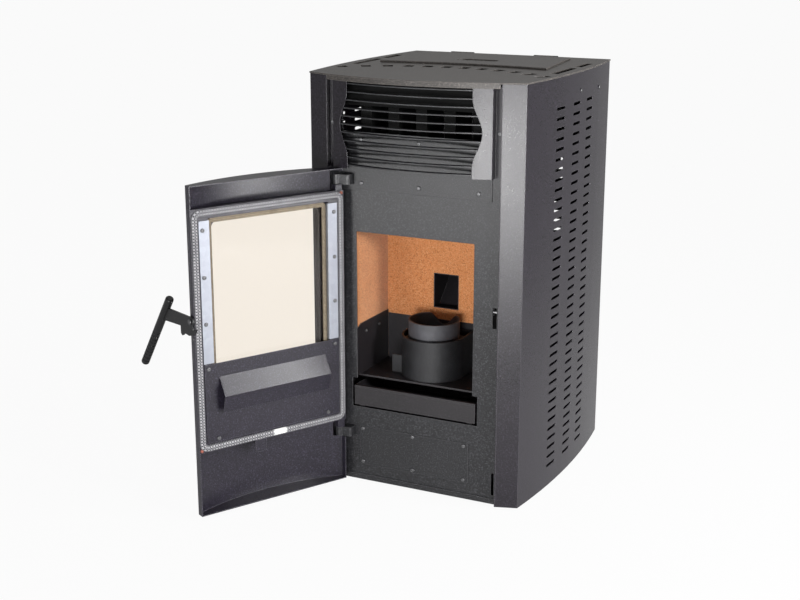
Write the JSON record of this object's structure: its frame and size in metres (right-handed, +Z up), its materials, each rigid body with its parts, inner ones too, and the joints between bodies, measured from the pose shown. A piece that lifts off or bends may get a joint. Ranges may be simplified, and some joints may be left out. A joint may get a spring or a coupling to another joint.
{
  "type": "pellet stove",
  "caption": "Free-standing pellet stove with bowed vented sides, a louvred warm air outlet, a top hopper lid and a fire door swung open over a lined chamber with burn pot and ash pan.",
  "frame": {"origin": "on the floor below the middle of the casing's rectangular plan, corner to corner", "axes": "+Z up, +Y towards the back where the smoke outlet points, +X to the right seen from the front"},
  "size_m": [0.8504, 0.9765, 0.9647],
  "materials": {
    "casing_paint": "fine textured powder coat, dark grey",
    "front_paint": "fine textured powder coat, mid grey",
    "door_paint": "fine textured powder coat, dark grey",
    "handle_paint": "satin black coat",
    "fire_steel": "heat-proof matt black",
    "cast_iron": "plain cast, slightly worn",
    "fire_board": "pressed speckled board",
    "bare_steel": "bare sheet steel",
    "zinc_steel": "bright zinc",
    "screw_steel": "dull zinc screws",
    "door_rope": "braided rope, grey and white",
    "glass_rope": "flat woven rope",
    "fire_glass": "ceramic fire glass, faint cream",
    "motor_steel": "die cast",
    "black_plastic": "matt black",
    "board_plastic": "green board"
  },
  "bodies": {
    "casing": {"base_pan": "casing_paint", "base_rail": "front_paint", "levelling_feet": "black_plastic", "left_side_panel": "casing_paint", "right_side_panel": "casing_paint", "casing_screws": "screw_steel", "rear_panel": "casing_paint", "top_plate": "casing_paint", "lid_hinge_pins": "handle_paint", "front_plate": "front_paint", "front_screws": "screw_steel", "louvre_plate": "front_paint", "access_cover": "front_paint", "louvre_blades": "front_paint", "left_cheek": "casing_paint", "right_cheek": "casing_paint", "hinge_brackets": "front_paint", "latch_keeper": "bare_steel", "firebox_body": "fire_steel", "firebox_floor": "fire_steel", "lining_back": "fire_board", "lining_left": "fire_board", "lining_right": "fire_board", "skirt_plates": "fire_steel", "burn_pot_holder": "cast_iron", "igniter": "bare_steel", "exchanger_tubes": "fire_steel", "exchanger_header": "fire_steel", "flue_duct": "fire_steel", "hopper": "bare_steel", "auger_tube": "bare_steel", "auger_gearmotor": "motor_steel", "feed_chute": "fire_steel", "exhaust_fan_housing": "motor_steel", "exhaust_fan_motor": "motor_steel", "flue_spigot": "fire_steel", "air_intake_pipe": "bare_steel", "room_fan_housing": "bare_steel", "room_fan_motor": "motor_steel", "control_board": "board_plastic", "mains_inlet": "black_plastic", "switch_housing": "black_plastic"},
    "door": {"door_skin": "door_paint", "door_frame": "door_paint", "door_rope_gasket": "door_rope", "door_glass": "fire_glass", "glass_rope": "glass_rope", "glass_retainers": "zinc_steel", "deflector_plate": "door_paint", "door_screws": "screw_steel", "handle_pivot_bolt": "screw_steel"},
    "handle": {"handle_lever": "handle_paint", "handle_grip": "handle_paint"},
    "ash_pan": {"ash_pan": "fire_steel"},
    "hopper_lid": {"hopper_lid": "casing_paint"},
    "burn_cup": {"burn_pot_cup": "cast_iron"},
    "auger": {"auger_screw": "bare_steel"},
    "room_fan": {"room_fan_rotor": "motor_steel"},
    "smoke_fan": {"exhaust_impeller": "bare_steel"},
    "switch": {"power_switch": "black_plastic"}
  },
  "joints": [
    {"name": "door_hinge", "type": "hinge", "parent": "casing", "child": "door", "pos_m": [-0.1825, -0.2972, 0.428], "axis": [0, 0, 1], "range_deg": [-16.7, 118.26]},
    {"name": "handle_turn", "type": "hinge", "parent": "door", "child": "handle", "pos_m": [-0.35285, -0.63416, 0.461], "axis": [-0.4735, -0.8808, 0], "range_deg": [0, 38.1]},
    {"name": "ash_pan_slide", "type": "slide", "parent": "casing", "child": "ash_pan", "axis": [0, 1, 0], "range_m": [-0.15, 0]},
    {"name": "lid_hinge", "type": "hinge", "parent": "casing", "child": "hopper_lid", "pos_m": [0, 0.2322, 0.9615], "axis": [-1, 0, 0], "range_deg": [0, 95]},
    {"name": "burn_cup_lift", "type": "slide", "parent": "casing", "child": "burn_cup", "axis": [0, 0, 1], "range_m": [0, 0.08]},
    {"name": "auger_spin", "type": "hinge", "parent": "casing", "child": "auger", "pos_m": [0, 0.175, 0.408], "axis": [0, -0.7071, 0.7071], "continuous": true},
    {"name": "room_fan_spin", "type": "hinge", "parent": "casing", "child": "room_fan", "pos_m": [0, -0.015, 0.104], "axis": [1, 0, 0], "continuous": true},
    {"name": "smoke_fan_spin", "type": "hinge", "parent": "casing", "child": "smoke_fan", "pos_m": [0.106, 0.155, 0.158], "axis": [1, 0, 0], "continuous": true},
    {"name": "switch_rock", "type": "hinge", "parent": "casing", "child": "switch", "pos_m": [-0.178, 0.2745, 0.13], "axis": [1, 0, 0], "range_deg": [-18, 0]}
  ]
}
